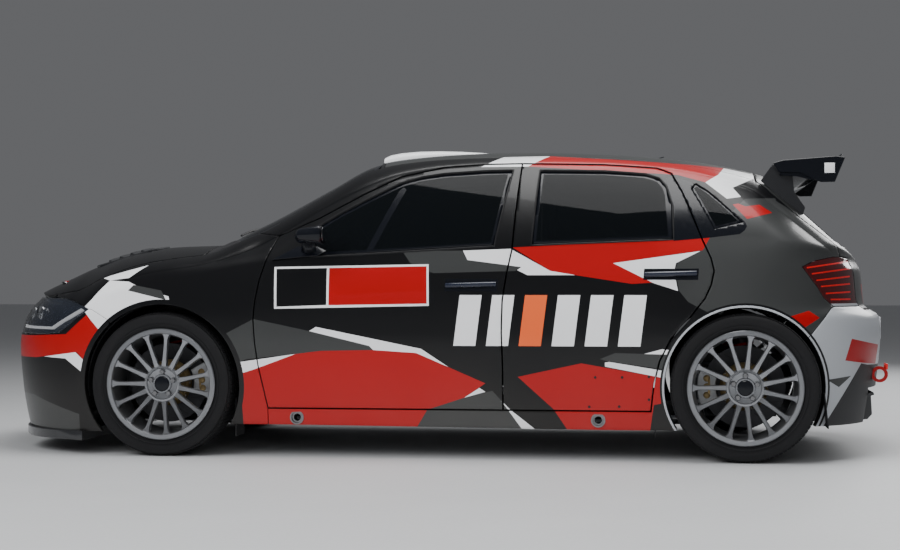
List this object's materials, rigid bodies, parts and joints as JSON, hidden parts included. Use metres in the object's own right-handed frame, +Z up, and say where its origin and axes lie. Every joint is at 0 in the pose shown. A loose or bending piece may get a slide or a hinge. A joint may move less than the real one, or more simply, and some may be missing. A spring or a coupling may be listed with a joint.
{
  "type": "rally car",
  "caption": "Tarmac-trim rally hatchback with opening doors, bonnet and tailgate, steered front wheels, free-turning wheels, roll cage, roof scoop and tailgate wing.",
  "frame": {"origin": "on the ground under the middle of the car's box", "axes": "+X towards the tail, -Y towards the car's left side, +Z up"},
  "size_m": [4.0599, 2.084, 1.3899],
  "materials": {
    "paint": "gloss",
    "dark_paint": "gloss",
    "slate_paint": "gloss",
    "white_paint": "gloss",
    "glass": "tinted",
    "lens": "clear",
    "red_lens": "glossy",
    "carbon": "satin",
    "plastic": "matte",
    "cage_steel": "satin",
    "alloy": "satin",
    "tyre": "matte",
    "steel": "satin",
    "iron": "satin",
    "cloth": "matte"
  },
  "bodies": {
    "body": {"floor_pan": "slate_paint", "left_side_frame": "dark_paint", "right_side_frame": "dark_paint", "front_fenders": "white_paint", "cowl_panel": "plastic", "roof_panel": "dark_paint", "front_bumper": "paint", "front_splitter": "carbon", "rear_bumper": "white_paint", "rear_diffuser": "carbon", "wheel_housings": "plastic", "windscreen": "glass", "quarter_windows": "glass", "headlights": "lens", "taillights": "red_lens", "roof_scoop": "carbon", "roll_cage": "cage_steel", "dashboard": "plastic", "bucket_seats": "cloth", "engine": "alloy", "front_suspension": "steel", "rear_suspension": "steel", "skid_plate": "alloy", "exhaust": "steel", "tow_eyes": "paint", "jack_sockets": "steel"},
    "front_left_door": {"front_left_door": "paint", "front_left_glass": "glass", "left_mirror": "dark_paint"},
    "front_right_door": {"front_right_door": "paint", "front_right_glass": "glass", "right_mirror": "dark_paint"},
    "rear_left_door": {"rear_left_door": "slate_paint", "rear_left_glass": "glass"},
    "rear_right_door": {"rear_right_door": "slate_paint", "rear_right_glass": "glass"},
    "bonnet": {"bonnet": "dark_paint"},
    "tailgate": {"tailgate": "slate_paint", "rear_window": "glass", "rear_wing": "carbon"},
    "left_knuckle": {"left_knuckle": "iron"},
    "right_knuckle": {"right_knuckle": "iron"},
    "steering_wheel": {"steering_wheel": "cloth"},
    "front_left_wheel": {"front_left_rim": "alloy", "front_left_tyre": "tyre"},
    "front_right_wheel": {"front_right_rim": "alloy", "front_right_tyre": "tyre"},
    "rear_left_wheel": {"rear_left_rim": "alloy", "rear_left_tyre": "tyre"},
    "rear_right_wheel": {"rear_right_rim": "alloy", "rear_right_tyre": "tyre"}
  },
  "joints": [
    {"name": "front_left_door_hinge", "type": "hinge", "parent": "body", "child": "front_left_door", "pos_m": [-0.746, -0.897, 0.6], "axis": [0, 0, -1], "range_deg": [0, 68]},
    {"name": "front_right_door_hinge", "type": "hinge", "parent": "body", "child": "front_right_door", "pos_m": [-0.746, 0.897, 0.6], "axis": [0, 0, 1], "range_deg": [0, 68]},
    {"name": "rear_left_door_hinge", "type": "hinge", "parent": "body", "child": "rear_left_door", "pos_m": [0.352, -0.886, 0.6], "axis": [0, 0, -1], "range_deg": [0, 66]},
    {"name": "rear_right_door_hinge", "type": "hinge", "parent": "body", "child": "rear_right_door", "pos_m": [0.352, 0.886, 0.6], "axis": [0, 0, 1], "range_deg": [0, 66]},
    {"name": "bonnet_hinge", "type": "hinge", "parent": "body", "child": "bonnet", "pos_m": [-1.01, 0, 0.952], "axis": [0, 1, 0], "range_deg": [0, 55]},
    {"name": "tailgate_hinge", "type": "hinge", "parent": "body", "child": "tailgate", "pos_m": [1.447, 0, 1.278], "axis": [0, -1, 0], "range_deg": [0, 75]},
    {"name": "left_steer", "type": "hinge", "parent": "body", "child": "left_knuckle", "pos_m": [-1.165, -0.79, 0.318], "axis": [0, 0, 1], "range_deg": [-26, 26]},
    {"name": "right_steer", "type": "hinge", "parent": "body", "child": "right_knuckle", "pos_m": [-1.165, 0.79, 0.318], "axis": [0, 0, 1], "range_deg": [-26, 26]},
    {"name": "steering_column", "type": "hinge", "parent": "body", "child": "steering_wheel", "pos_m": [-0.33, -0.365, 0.885], "axis": [0.9272, 0, 0.3746], "range_deg": [-312, 312]},
    {"name": "front_left_spin", "type": "hinge", "parent": "left_knuckle", "child": "front_left_wheel", "pos_m": [-1.165, -0.79, 0.318], "axis": [0, 1, 0], "continuous": true},
    {"name": "front_right_spin", "type": "hinge", "parent": "right_knuckle", "child": "front_right_wheel", "pos_m": [-1.165, 0.79, 0.318], "axis": [0, 1, 0], "continuous": true},
    {"name": "rear_left_spin", "type": "hinge", "parent": "body", "child": "rear_left_wheel", "pos_m": [1.383, -0.79, 0.318], "axis": [0, 1, 0], "continuous": true},
    {"name": "rear_right_spin", "type": "hinge", "parent": "body", "child": "rear_right_wheel", "pos_m": [1.383, 0.79, 0.318], "axis": [0, 1, 0], "continuous": true}
  ],
  "couplings": [
    {"joint": "right_steer", "follows": "left_steer", "ratio": 1},
    {"joint": "steering_column", "follows": "left_steer", "ratio": 12}
  ]
}
